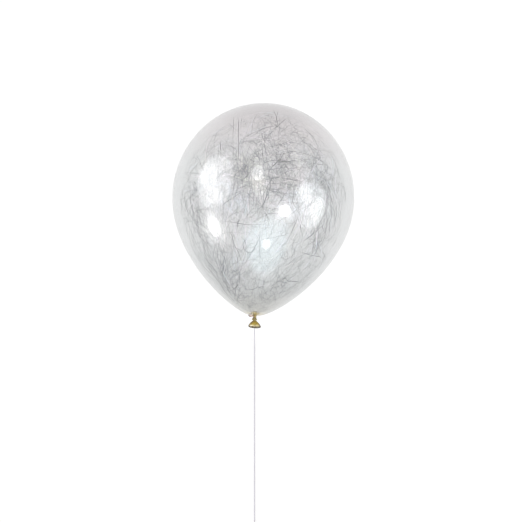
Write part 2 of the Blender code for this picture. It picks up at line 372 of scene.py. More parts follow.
def clear_film(name, settings, outside):
    """Clear latex: see-through, with a faint milky haze, pinkish at the crown and warmer close to the
    foot. It takes more light where it is crossed at a slant. The outside has a second, softer gloss."""
    gloss = {"Roughness": settings.roughness, "IOR": 1.3, "Transmission Weight": settings.clearness}
    if outside:
        gloss |= {"Coat Weight": 1.0, "Coat Roughness": 0.26, "Coat IOR": 1.5}
    material, tree, shader = shader_of(name, gloss)
    height = height_along(tree, FOOT_Y, FOOT_Y + BODY_DEPTH + CROWN_HEIGHT)
    shades = [
        (0.02, (0.92, 0.91, 0.88)),
        (0.12, (0.90, 0.903, 0.90)),
        (0.24, (0.95, 0.955, 0.955)),
        (0.36, WHITE),
        (0.70, WHITE),
        (0.88, (0.975, 0.945, 0.95)),
        (1.0, (0.835, 0.80, 0.808)),
    ]
    stops = [(0.0, (0.78, 0.68, 0.42))]
    stops += [(place, tuple(np.multiply(settings.tint, shade))) for place, shade in shades]
    slant_loss_and_shade = [(0.45, WHITE), (0.70, (0.95, 0.95, 0.955))]
    slant_loss_and_shade += [(0.86, (0.70, 0.71, 0.72)), (1.0, (0.25, 0.25, 0.25))]
    colour = product(tree, ramp(tree, height, stops), by_slant(tree, slant_loss_and_shade))
    tree.links.new(colour, shader.inputs["Base Color"])
    bump(tree, object_noise(tree, 26.0, 4.0, 0.6), 0.035, 0.0012, shader)
    return material


def amber_latex():
    """Gathered latex, thick enough to be amber: glossy, with painted shade deepening it in the folds. The
    waist is olive, darkened with painted shade where it is squeezed; the rolled lip is dark, partly the
    deeper amber of thick latex and partly painted shade on its lower edge; a pale band on the flare just
    above the lip is a painted highlight; and painted shade darkens it towards its outline."""
    gloss = {"Roughness": 0.22, "IOR": 1.52, "Transmission Weight": 0.35}
    gloss |= {"Coat Weight": 0.5, "Coat Roughness": 0.12}
    material, tree, shader = shader_of("amber latex", gloss)
    noise = object_noise(tree, 420.0, 4.0, 0.6, (1, 0.25, 1))
    # Painted shade: the noise also drives the bump, so its darker stops fall in the bump's valleys.
    folds = [(0.25, (0.55, 0.50, 0.40)), (0.5, (0.88, 0.86, 0.82)), (0.75, WHITE)]
    lip_end = BEAD_MIDDLE + BEAD_RADIUS
    place = height_along(tree, FOOT_Y + COLUMN_TOP, FOOT_Y - lip_end)
    levels = [
        (-COLUMN_TOP, (0.80, 0.76, 0.60)),
        (-0.4 * COLUMN_TOP, (0.72, 0.60, 0.24)),
        (0.0, (0.60, 0.45, 0.09)),
        # Painted shade: the waist's dark olive stands for the shade in the constriction.
        (WAIST_MIDDLE, (0.19, 0.15, 0.025)),
        (KNOT_HEIGHT + WAIST_LENGTH + 0.1 * FLARE_LENGTH, (0.52, 0.38, 0.05)),
        (KNOT_HEIGHT + WAIST_LENGTH + 0.6 * FLARE_LENGTH, (0.66, 0.50, 0.07)),
        # Painted highlight: the pale cream band on the flare just above the bead.
        (BEAD_MIDDLE - 0.6 * BEAD_RADIUS, (0.92, 0.85, 0.50)),
        # The bead is partly the deeper amber of thick rolled latex and partly painted shade on its lower
        # edge.
        (BEAD_MIDDLE + 0.3 * BEAD_RADIUS, (0.20, 0.14, 0.03)),
        (lip_end, (0.11, 0.08, 0.025)),
    ]
    colours = [((down + COLUMN_TOP) / (lip_end + COLUMN_TOP), colour) for down, colour in levels]
    # Painted shade: darker towards the outline, as the surface turns from the eye.
    edge_shade = [(0.28, WHITE), (0.52, (0.52, 0.44, 0.38)), (0.8, (0.16, 0.12, 0.09))]
    colour = product(tree, ramp(tree, place, colours), ramp(tree, noise, folds))
    tree.links.new(product(tree, colour, by_slant(tree, edge_shade)), shader.inputs["Base Color"])
    bump(tree, noise, 0.25, 0.0006, shader)
    return material


def knot_latex():
    """The knot's roll: two layers of film, paler and pinker than the neck, with painted shade that darkens
    it towards its outline.
    """
    gloss = {"Roughness": 0.35, "IOR": 1.5, "Transmission Weight": 0.2, "Coat Weight": 0.15}
    material, tree, shader = shader_of("knot latex", gloss)
    noise = object_noise(tree, 500.0, 4.0, 0.6)
    colours = [(0.3, (0.60, 0.44, 0.37)), (0.5, (0.76, 0.61, 0.55)), (0.75, (0.86, 0.74, 0.70))]
    # Painted shade: darker towards the outline, as the surface turns from the eye.
    slant_loss_and_shade = [(0.05, WHITE), (0.20, (0.62, 0.50, 0.42)), (0.45, (0.12, 0.08, 0.05))]
    colour = product(tree, ramp(tree, noise, colours), by_slant(tree, slant_loss_and_shade))
    tree.links.new(colour, shader.inputs["Base Color"])
    bump(tree, noise, 0.3, 0.0005, shader)
    return material


def tinsel_finish(name, colours, metallic, roughness):
    """Cut film: its tint drifts over the balloon, as the sheen of the real strands does."""
    material, tree, shader = shader_of(name, {"Metallic": metallic, "Roughness": roughness})
    noise = object_noise(tree, 17.0, 3.0, 0.55)
    tree.links.new(ramp(tree, noise, colours), shader.inputs["Base Color"])
    return material


def string_thread(name, dark, light):
    """Twisted thread: fine fibres and a little sheen."""
    cloth = {"Roughness": 0.78, "Sheen Weight": 0.3, "Sheen Roughness": 0.4}
    material, tree, shader = shader_of(name, cloth)
    noise = object_noise(tree, 2600.0, 5.0, 0.7)
    tree.links.new(ramp(tree, noise, [(0.3, dark), (0.7, light)]), shader.inputs["Base Color"])
    bump(tree, noise, 0.5, 0.00015, shader)
    return material


# The envelope


def lean_at(level):
    """How lean the body is, where level goes from 1 at the crown through 0 at the widest ring to -1 at
    the foot: less by the square of the way down, and leaner still close to the foot."""
    rise = np.clip(-level, 0.0, 1.0)
    return 1 - BODY_TAPER * rise**2 - FOOT_TAPER * rise**8


def lower_radius(rise):
    """The lower body's radius, a leaner ellipse, at this share of the way down to the foot."""
    return RADIUS * np.sqrt(1 - rise**2) * lean_at(-rise)


def on_envelope(ball):
    """Moves points of the unit ball into the envelope: +Y goes to the crown by the crown's ellipse, and
    -Y to the foot with the lower body's taper."""
    lean = lean_at(ball[..., 1])
    x = RADIUS * ball[..., 0] * lean
    y = EQUATOR_Y + np.where(ball[..., 1] > 0, CROWN_HEIGHT, BODY_DEPTH) * ball[..., 1]
    z = AXIS_HEIGHT + RADIUS * ball[..., 2] * lean
    return np.stack([x, y, z], axis=-1)


def envelope_rows(rows_up, rows_down, end_radius):
    """Distance from the foot and radius, from near the crown's pole down to the ring of end_radius."""
    turn = np.linspace(math.pi / 2, 0, rows_up + 1)[1:]
    crown = np.stack([BODY_DEPTH + CROWN_HEIGHT * np.sin(turn), RADIUS * np.cos(turn)], axis=1)
    rises = np.linspace(0.9, 1, 20001)
    last = math.asin(np.interp(-end_radius, -lower_radius(rises), rises))
    rise = np.sin(np.linspace(0, last, rows_down + 1)[1:])
    return np.vstack([crown, np.stack([BODY_DEPTH * (1 - rise), lower_radius(rise)], axis=1)])


def place_rings(rows, columns, depth, droop_share=0.0):
    """Rings round the axis, from rows of (distance from the foot, radius). The pleats are waves round
    each ring, as deep as a share of its radius. Below the foot the rings lean to +X and droop."""
    turn = np.arange(columns)[None, :] * 2 * math.pi / columns
    wave = np.cos(PLEATS * turn + 0.8 * np.sin(2 * turn)) + 0.35 * np.sin((PLEATS + 4) * turn)
    out = rows[:, 1:2] * (1 + np.asarray(depth)[..., None] * wave)
    below = np.maximum(-rows[:, 0:1], 0)
    x = out * np.cos(turn) + math.tan(TAIL_LEAN) * below
    z = out * np.sin(turn)
    y = FOOT_Y + rows[:, 0:1] - math.tan(TAIL_DROOP) * np.asarray(droop_share)[..., None] * z
    return np.stack([x, np.broadcast_to(y, x.shape), z + AXIS_HEIGHT], axis=-1)


class FilmSettings(bpy.types.PropertyGroup):
    thickness: bpy.props.FloatProperty(
        name="Thickness", description="Thickness of the film", default=0.0003, unit="LENGTH"
    )
    clearness: bpy.props.FloatProperty(
        name="Clearness", description="Share of the light that isn't lost in the haze", default=0.95
    )
    roughness: bpy.props.FloatProperty(
        name="Roughness", description="How soft the film's reflections are", default=0.05
    )
    tint: bpy.props.FloatVectorProperty(
        name="Tint", description="Colour of one wall", subtype="COLOR", default=(0.814, 0.821, 0.821)
    )


class BALLOON_OT_film(bpy.types.Operator):
    """Make the clear film from the crown to the knot"""

    bl_idname = "balloon.film"
    bl_label = "Film"

    def execute(self, context):
        settings = context.scene.balloon_film
        wall = settings.thickness
        rows = envelope_rows(FILM_ROWS_UP, FILM_ROWS_DOWN, FILM_END_RADIUS)
        gather = GATHER_DEPTH * np.exp(-rows[:, 1] / GATHER_REACH)
        outer = place_rings(rows, FILM_COLUMNS, gather)
        inner_rows = rows - [0, wall]
        inner_rows[:, 0] -= wall * np.sign(rows[:, 0] - BODY_DEPTH) * (1 - rows[:, 1] / RADIUS)
        inner = place_rings(inner_rows, FILM_COLUMNS, gather)
        outer[..., 2] = np.maximum(outer[..., 2], 0.0)
        inner[..., 2] = np.maximum(inner[..., 2], wall)
        points, faces = revolved(outer)
        inner_points, inner_faces = revolved(inner, turned=True, first=len(points))
        mesh = mesh_of("balloon_film", np.vstack([points, inner_points]), faces + inner_faces)
        on_inside = np.repeat([0, 1], [sum(map(len, faces)), sum(map(len, inner_faces))])
        mesh.polygons.foreach_set("material_index", on_inside.astype(np.int32))
        finishes = [clear_film("clear film", settings, True)]
        finishes += [clear_film("clear film inside", settings, False)]
        made = add_piece(mesh, finishes, ("balloon",))
        made.visible_shadow = made.visible_diffuse = False
        return {"FINISHED"}


# The neck


class BALLOON_OT_neck(bpy.types.Operator):
    """Make the gathered neck, the flared tail with its rolled lip, and the knot's roll"""

    bl_idname = "balloon.neck"
    bl_label = "Neck and knot"

    def execute(self, context):
        self.tail()
        self.roll()
        return {"FINISHED"}

    def tail(self):
        """One skin: down the gathered column and the waist, out along the flare, round the bead, and
        back up inside the mouth."""
        down = np.linspace(COLUMN_TOP, -KNOT_HEIGHT, COLUMN_ROWS)
        column = np.stack([down, np.full(COLUMN_ROWS, COLUMN_RADIUS)], axis=1)
        down = np.linspace(-KNOT_HEIGHT, -KNOT_HEIGHT - WAIST_LENGTH, WAIST_ROWS + 2)[1:-1]
        waist = np.stack([down, np.full(WAIST_ROWS, WAIST_RADIUS)], axis=1)
        wall_angle = math.acos(TAIL_WALL / 2 / BEAD_RADIUS)
        flare_end = BEAD_RING_RADIUS + TAIL_WALL / 2
        share = np.linspace(0, 1, FLARE_ROWS + 1)[:-1]
        length = FLARE_LENGTH - BEAD_RADIUS * math.sin(wall_angle)
        down = -KNOT_HEIGHT - WAIST_LENGTH - length * share
        out = WAIST_RADIUS + (flare_end - WAIST_RADIUS) * smooth(share**0.85)
        flare = np.stack([down, out], axis=1)
        turn = np.linspace(-wall_angle, math.pi + wall_angle, BEAD_ROWS)
        bead = BEAD_RADIUS * np.stack([-np.sin(turn), np.cos(turn)], axis=1)
        bead += [-BEAD_MIDDLE, BEAD_RING_RADIUS]
        outside = np.vstack([flare, bead[:1]])
        run = np.gradient(outside, axis=0)
        normal = unit(np.stack([run[:, 1], -run[:, 0]], axis=1))
        inside = (outside - TAIL_WALL * normal)[::-1][1:]
        inside = inside[inside[:, 0] < -BEAD_MIDDLE + MOUTH_DEPTH]
        rows = np.vstack([column, waist, flare, bead, inside])
        down = -rows[:, 0]
        depth = 0.10 * (1 - smooth((down - KNOT_HEIGHT - WAIST_LENGTH) / (0.8 * FLARE_LENGTH)))
        droop = smooth((down - KNOT_HEIGHT) / (BEAD_MIDDLE - KNOT_HEIGHT))
        points, faces = revolved(place_rings(rows, TAIL_COLUMNS, depth, droop))
        mesh = mesh_of("balloon_neck", points, faces)
        add_piece(mesh, [amber_latex()], ("balloon",))

    def roll(self):
        """A ring round the column, thicker on the -X side, with a twist of folds along it."""
        turn = np.arange(ROLL_COLUMNS) * 2 * math.pi / ROLL_COLUMNS
        left = (1 - np.cos(turn)) / 2
        x = ROLL_RING * np.cos(turn) * math.cos(ROLL_TILT) - ROLL_SHIFT
        y = FOOT_Y - ROLL_DROP - ROLL_RING * np.cos(turn) * math.sin(ROLL_TILT)
        z = AXIS_HEIGHT + ROLL_RING * np.sin(turn)
        middle = np.stack([x, y, z], axis=1)
        out = unit(middle - middle.mean(axis=0))
        along = unit(np.roll(middle, -1, axis=0) - np.roll(middle, 1, axis=0))
        around = np.arange(ROLL_SIDES)[None, :] * 2 * math.pi / ROLL_SIDES
        folds = 1 + 0.07 * np.cos(5 * around + 3 * turn[:, None])
        radius = (ROLL_THINNEST + ROLL_LOBE * left**2)[:, None] * folds
        points = swept(middle, radius, around, out, np.cross(along, out))
        faces = [grid_faces(ROLL_COLUMNS, ROLL_SIDES, close_rows=True)[:, ::-1]]
        mesh = mesh_of("balloon_knot", points.reshape(-1, 3), faces)
        add_piece(mesh, [knot_latex()], ("balloon",))


# The tinsel


class TinselSettings(bpy.types.PropertyGroup):
    seed: bpy.props.IntProperty(name="Seed", description="Start of the random draws", default=7)
    silver: bpy.props.IntProperty(name="Silver", description="Number of silver strands", default=2000)
    pearl: bpy.props.IntProperty(name="Pearl", description="Number of tinted strands", default=900)
    curls: bpy.props.IntProperty(name="Curls", description="Number of curled strands", default=600)
    width: bpy.props.FloatProperty(
        name="Width", description="Width of a strand of cut film", default=0.00039, unit="LENGTH"
    )


# Where the tinsel gathers: a direction from the balloon's middle, how wide the cluster is, and how
# thick, or how thin where that is below 0
CLUSTERS = [
    ((-0.20, 0.17, 0.96), 0.18, 0.60),
    ((0.23, 0.38, 0.90), 0.24, 0.32),
    ((0.62, 0.15, 0.77), 0.26, 0.35),
    ((-0.42, -0.77, 0.48), 0.18, 0.45),
    ((0.09, -0.36, 0.93), 0.26, -0.3),
    ((0.45, -0.50, 0.74), 0.26, -0.16),
    ((0.15, -0.75, 0.64), 0.18, -0.16),
]

# Where curls gather, in the same terms
CURL_CLUSTERS = [
    ((-0.20, 0.15, 0.96), 0.17, 0.85),
    ((-0.40, -0.78, 0.48), 0.16, 0.5),
    ((0.05, -0.90, 0.42), 0.18, 0.4),
    ((0.00, -0.99, 0.14), 0.20, 1.0),
    ((0.35, -0.68, 0.60), 0.14, 0.5),
]

# Single strands that stand out: the pixels of the photograph where each one starts and ends, how far
# its middle bows to the side, in pixels, and how bold it is
STROKES = [
    ((233.5, 117), (233.3, 160), 0.4, 2.4),
    ((238.2, 117), (238.5, 160), -0.3, 1.9),
    ((220.5, 143), (220.3, 151), 0, 2.6),
    ((258.6, 152), (259, 160), 0, 2.2),
    ((262.8, 152), (263.2, 160), 0.3, 2.2),
    ((272.9, 109), (278, 127), -1, 2.2),
    ((278.5, 110), (276, 127), 0.8, 2.2),
    ((285.5, 119), (272, 130), -0.6, 2.2),
    ((271, 122), (285, 130), 0.8, 2.4),
    ((276, 126), (240, 141), 2.5, 1.5),
    ((295, 137), (262, 147), -3, 1.8),
    ((266, 155), (293, 151), 1.5, 2),
    ((286, 151), (327.5, 165), -3.5, 1.9),
    ((312, 163), (327.5, 165), 0.5, 2.6),
    ((279.8, 160), (264, 163), 0.8, 2.4),
    ((279.8, 160), (289.5, 171), -0.8, 2.4),
    ((279.8, 160), (269, 171), 0.7, 2.4),
    ((284.5, 152), (278, 166), 0.5, 2.4),
    ((276, 161), (297, 160), 0.9, 2.2),
    ((281.5, 158), (273.5, 166), 0.2, 2.4),
    ((289.5, 179), (298.5, 181), 0.2, 2.6),
    ((273.5, 177), (262.5, 197), 0.8, 2.4),
    ((250, 159), (255, 162), 0.3, 3),
    ((231, 199), (222, 206), 0.5, 2.4),
    ((243, 168), (233, 178), 0.8, 2.4),
    ((246, 186), (236, 190), 0.6, 2.4),
    ((250, 172), (241, 181), -0.6, 2.4),
    ((323, 177), (330, 192), -0.6, 2.6),
    ((321, 180), (325, 190), 0.5, 2.4),
    ((301, 252), (322, 257), 0.8, 2.2),
    ((308, 245), (326, 231), 0.6, 2.4),
    ((312, 249), (328, 236), -0.5, 2.2),
    ((304, 241), (322, 226), 0.5, 2.2),
    ((180.5, 193), (183.5, 208), 1.4, 2.4),
    ((185, 192), (182.5, 204), -1, 2.2),
    ((179.5, 200), (187.5, 195), 0.8, 2.2),
    ((220, 282), (231, 297), 1.2, 3),
    ((223, 281), (236, 292), -1.6, 2.8),
    ((229, 291), (238, 284), 1.4, 2.8),
    ((237, 301), (255, 304), -2, 2.8),
    ((242, 293), (237, 302), 1.2, 2.8),
    ((245, 289), (258, 286), 2, 2.8),
    ((262, 297), (280, 298), 2.4, 2.8),
    ((270, 292), (283, 278), -1.6, 2.8),
    ((286, 277), (281, 288), 1.2, 2.6),
    ((226, 288), (240, 292), -2.5, 2.4),
    ((255, 287), (267, 296), -3, 2.4),
    ((284, 276), (296, 281), 3, 2.2),
    ((283, 284), (300, 283), -2.5, 2.2),
]
STROKE_POINTS = 16
BOLD_WIDTH = 0.65

# Distance from the unit ball's middle: of the strands above, the most for others, and more at the foot
STROKE_DEPTH = 0.95
MOST_DEPTH = 0.905
FOOT_DEPTH = 0.065

# Start places drawn for each strand, how sharp its kink is, and its thickness beside its width
TRIES = 12
KINK_SHARPNESS = 9
RIBBON_THICKNESS = 0.2


def gathered(ball, base, clusters):
    """Chance of a strand starting here: the base, and more inside each cluster, by the bell curve of
    the distance to its middle."""
    chance = base
    for middle, width, weight in clusters:
        apart = ((ball - unit(np.array(middle))) ** 2).sum(axis=1)
        chance = chance + weight * np.exp(-apart / (2 * width**2))
    return np.clip(chance, 0, 1)


def anywhere(ball):
    """Chance of a strand starting here: less at the crown and round the rim."""
    height = ball[:, 1]
    base = 0.26 * (1 - 0.6 * height**2 - 0.25 * smooth(-2 * height))
    return gathered(ball, base * smooth(0.25 + 2 * np.abs(ball[:, 2])), CLUSTERS)


def low_down(ball):
    """Chance of a curl starting here: in the clusters, and more towards the foot."""
    return gathered(ball, np.clip(0.05 - 0.16 * ball[:, 1], 0.03, 1.0), CURL_CLUSTERS)


def grain(ball):
    """A direction that changes slowly over the ball, which neighbouring strands share in part."""
    x, y = ball[:, 0], ball[:, 1]
    return np.stack([np.sin(3.1 * y + 0.6), np.cos(2.7 * x - 0.4), np.sin(2.2 * x + 3.0 * y)], axis=1)


def strand_paths(draw, count, steps, length, bend, kink, depth, keep, disorder):
    """Centrelines of strands inside the unit ball, (count, steps, 3). Each starts at a drawn place and
    runs over the ball as its heading changes: at a steady rate of bend radians a metre, and by one kink
    part of the way. length, bend, kink and depth are the two ends of what is drawn, keep gives the
    chance that a start place is used, and disorder is how far the headings stray from the grain."""
    starts = unit(draw.normal(size=(count * TRIES, 3)))
    starts = starts[draw.random(len(starts)) < keep(starts)][:count]
    count = len(starts)

    def drawn(low, high):
        return draw.uniform(low, high, size=(count, 1))

    east = unit(np.cross(starts, grain(starts) + disorder * draw.normal(size=(count, 3))))
    north = np.cross(starts, east)
    share = np.linspace(-0.5, 0.5, steps)[None, :]
    reach = drawn(*length)
    turning = drawn(*bend) * draw.choice([-1, 1], size=(count, 1))
    corner = drawn(*kink) * np.tanh(KINK_SHARPNESS * (share - drawn(-0.4, 0.4)))
    sway = 0.06 * np.sin(drawn(4, 14) * share + drawn(0, 6.28))
    heading = turning * reach * share + corner + sway
    step = reach / (steps - 1) / (0.85 * RADIUS)
    u = np.cumsum(step * np.cos(heading), axis=1)
    v = np.cumsum(step * np.sin(heading), axis=1)
    u -= u.mean(axis=1, keepdims=True)
    v -= v.mean(axis=1, keepdims=True)
    far = np.sqrt(u**2 + v**2) + 1e-9
    ball = np.cos(far)[..., None] * starts[:, None, :] + (np.sin(far) / far)[..., None] * (
        u[..., None] * east[:, None, :] + v[..., None] * north[:, None, :]
    )
    size = drawn(*depth) + draw.normal(0, 0.18, size=(count, 1)) * share
    size = size + 0.14 * np.clip(-starts[:, 1:2], 0, 1) ** 2
    size = size + 0.008 * np.sin(drawn(5, 20) * share)
    limit = MOST_DEPTH + FOOT_DEPTH * np.clip(-ball[..., 1], 0, 1) ** 2
    return ball * np.minimum(size, limit)[..., None]


def stroke_paths(steps):
    """Centrelines of the strands that stand out, in the unit ball, (count, steps, 3)."""
    ends = np.array([[start, end] for start, end, _, _ in STROKES], float)
    bow = np.array([bow for _, _, bow, _ in STROKES])[:, None]
    share = np.linspace(0, 1, steps)[None, :]
    run = unit(ends[:, 1] - ends[:, 0])
    aside = np.stack([-run[:, 1], run[:, 0]], axis=1)[:, None, :]
    spots = ends[:, :1] + share[..., None] * (ends[:, 1:] - ends[:, :1])
    return seen_in_ball(spots + (4 * bow * share * (1 - share))[..., None] * aside, STROKE_DEPTH)


def seen_in_ball(spots, depth):
    """The places of the unit ball, this far from its middle, that show at pixels of the photograph."""
    distance = bpy.context.scene.balloon_stage.distance
    height = np.zeros(spots.shape[:-1])
    for _ in range(ROUNDS):
        flat = PICTURE_MIDDLE + off_middle(spots) * (1 - height / distance)[..., None]
        y = (flat[..., 1] - EQUATOR_Y) / np.where(flat[..., 1] > EQUATOR_Y, CROWN_HEIGHT, BODY_DEPTH)
        x = flat[..., 0] / RADIUS / lean_at(y)
        z = np.sqrt(np.clip(depth**2 - x**2 - y**2, 0.004, 1.0))
        height = RADIUS * lean_at(y) * z
    return np.stack([x, y, z], axis=-1)


def strand_mesh(name, draw, ball, width):
    """Ribbons along the paths: a flat four-sided section that narrows to its ends and turns as it goes.
    With one width for all, most are finer and a few are wider. With an array of widths, they lie flat
    to the film."""
    count, steps, _ = ball.shape
    path = on_envelope(ball)
    along = unit(np.gradient(path, axis=1))
    out = unit(ball)
    side = unit(np.cross(along, out))
    out = np.cross(side, along)
    share = np.linspace(0, 1, steps)[None, :]
    turn = draw.normal(0, 0.5, size=(count, 1)) + draw.normal(0, 1.2, size=(count, 1)) * share
    wide = 0.5 + 0.3 * draw.random(size=(count, 1)) + 1.2 * draw.random(size=(count, 1)) ** 4
    if np.ndim(width):
        turn, wide = 0 * turn, 1
    flat = np.cos(turn)[..., None] * side + np.sin(turn)[..., None] * out
    thin = np.cos(turn)[..., None] * out - np.sin(turn)[..., None] * side
    half = width / 2 * wide * (0.3 + 0.7 * smooth(8 * share) * smooth(8 - 8 * share))
    flat = flat * half[..., None]
    thin = thin * (half[..., None] * RIBBON_THICKNESS)
    points = np.stack([path + flat, path + thin, path - flat, path - thin], axis=2)
    first = np.arange(count)[:, None] * steps * 4
    quads = (first[:, :, None] + grid_faces(steps, 4)[None]).reshape(-1, 4)
    caps = np.vstack([first + [3, 2, 1, 0], first + (steps - 1) * 4 + [0, 1, 2, 3]])
    return mesh_of(name, points.reshape(-1, 3), [quads, caps])


# Colours over the noise of each finish
SILVER = [(0.30, (0.13, 0.15, 0.18)), (0.5, (0.18, 0.18, 0.19)), (0.7, (0.15, 0.14, 0.18))]
PEARL = [
    (0.30, (0.74, 0.93, 0.95)),
    (0.42, (0.84, 0.86, 0.97)),
    (0.50, (0.95, 0.86, 0.93)),
    (0.60, (0.96, 0.92, 0.86)),
    (0.72, (0.88, 0.94, 0.78)),
    (0.84, (0.76, 0.94, 0.88)),
]
CURLED = [(0.3, (0.10, 0.11, 0.12)), (0.7, (0.18, 0.18, 0.19))]
DARK = [(0.3, (0.02, 0.02, 0.022)), (0.7, (0.05, 0.05, 0.05))]

# Each kind of drawn strand: its width beside the common one, its finish, and its paths
KINDS = {
    "silver": (
        1.0,
        ("silver strands", SILVER, 0.85, 0.30),
        (10, (0.015, 0.08), (0, 5), (-0.15, 0.15), (0.66, 0.93), anywhere, 1.5),
    ),
    "pearl": (
        0.9,
        ("pearl strands", PEARL, 0.6, 0.35),
        (14, (0.05, 0.16), (0, 5), (-0.2, 0.2), (0.40, 0.89), anywhere, 1.2),
    ),
    "curls": (
        0.9,
        ("curled strands", CURLED, 0.6, 0.4),
        (18, (0.02, 0.06), (20, 130), (-0.5, 0.5), (0.72, 0.98), low_down, 2.0),
    ),
}


class BALLOON_OT_tinsel(bpy.types.Operator):
    """Make the strands of cut film inside the balloon, by finish"""

    bl_idname = "balloon.tinsel"
    bl_label = "Tinsel"

    def execute(self, context):
        settings = context.scene.balloon_tinsel
        draw = np.random.default_rng(settings.seed)
        for name, (width, finish, path) in KINDS.items():
            paths = strand_paths(draw, getattr(settings, name), *path)
            self.strands(f"tinsel_{name}", draw, paths, settings.width * width, tinsel_finish(*finish))
        width = settings.width * (np.array([bold for _, _, _, bold in STROKES])[:, None] * BOLD_WIDTH)
        finish = tinsel_finish("dark strands", DARK, 0.0, 0.7)
        self.strands("tinsel_strokes", draw, stroke_paths(STROKE_POINTS), width, finish)
        return {"FINISHED"}

    def strands(self, name, draw, paths, width, finish):
        made = add_piece(strand_mesh(name, draw, paths, width), [finish])
        made.visible_diffuse = False


# The string


def smooth_curve(points, spacing):
    """Points a spacing apart on the curve through the given ones: a cubic between each pair, whose
    slope at each point comes from the neighbours."""
    points = np.array(points, float)
    reach = reach_along(points)
    slope = np.gradient(points, reach, axis=0)
    fine = np.linspace(0, reach[-1], 4000)
    at = np.clip(np.searchsorted(reach, fine, side="right") - 1, 0, len(points) - 2)
    step = (reach[at + 1] - reach[at])[:, None]
    t = (fine - reach[at])[:, None] / step
    curve = (
        (2 * t**3 - 3 * t**2 + 1) * points[at]
        + (t**3 - 2 * t**2 + t) * step * slope[at]
        + (3 * t**2 - 2 * t**3) * points[at + 1]
        + (t**3 - t**2) * step * slope[at + 1]
    )
    return evenly(curve, spacing)


def evenly(curve, spacing):
    """The same curve with its points a spacing apart."""
    length = reach_along(curve)
    even = np.linspace(0, length[-1], int(round(length[-1] / spacing)) + 1)
    return np.stack([np.interp(even, length, curve[:, k]) for k in range(curve.shape[1])], axis=1)


# The string runs down the picture
ALONG = -PICTURE_UP
ACROSS = PICTURE_RIGHT
WAIST = np.array([math.tan(TAIL_LEAN) * WAIST_MIDDLE, FOOT_Y - WAIST_MIDDLE, AXIS_HEIGHT])
COIL_CENTRE = (np.array(COIL_LOW) + np.array(COIL_HIGH)) / 2


def string_route():
    """The laid part of the string, from its knot to the coil."""
    hanging = [(along, share * HANG_HEIGHT) for along, share in HANG_ROUTE]
    floor = np.linspace(LANDING, STRING_RUN - STRING_RISE, FLOOR_POINTS)
    lying = [(along, STRING_RADIUS) for along in floor]
    route = smooth_curve(hanging + lying + [(STRING_RUN, FIRST_TURN_HEIGHT)], STRING_RADIUS)
    points = WAIST * (1, 1, 0) + route[:, :1] * ALONG
    points[:, 2] = np.maximum(route[:, 1], STRING_RADIUS)
    return points


def coil_turns(count):
    """Turns side by side in layers, the first one outside and lowest. Each keeps its radius until the
    last share of its round, where it steps to the next place: across a layer, or up at its end."""
    turn = np.arange(0, count, 1 / TURN_POINTS)
    whole = np.floor(turn).astype(int)
    step = smooth((turn - whole - (1 - STEP_SHARE)) / STEP_SHARE)
    place = np.arange(whole.max() + 3)
    layer = place // COIL_COLUMNS
    column = place % COIL_COLUMNS
    column = np.where(layer % 2 == 0, column, COIL_COLUMNS - 1 - column)
    column = column[whole] + (column[whole + 1] - column[whole]) * step
    layer = layer[whole] + (layer[whole + 1] - layer[whole]) * step
    radius = COIL_MEAN_DIAMETER / 2 + ((COIL_COLUMNS - 1) / 2 - column) * TURN_PITCH
    angle = 2 * math.pi * turn
    flat = radius[:, None] * (-np.cos(angle)[:, None] * ACROSS + np.sin(angle)[:, None] * ALONG)
    points = COIL_CENTRE * (1, 1, 0) + flat
    points[:, 2] = FIRST_TURN_HEIGHT + layer * TURN_PITCH
    return points


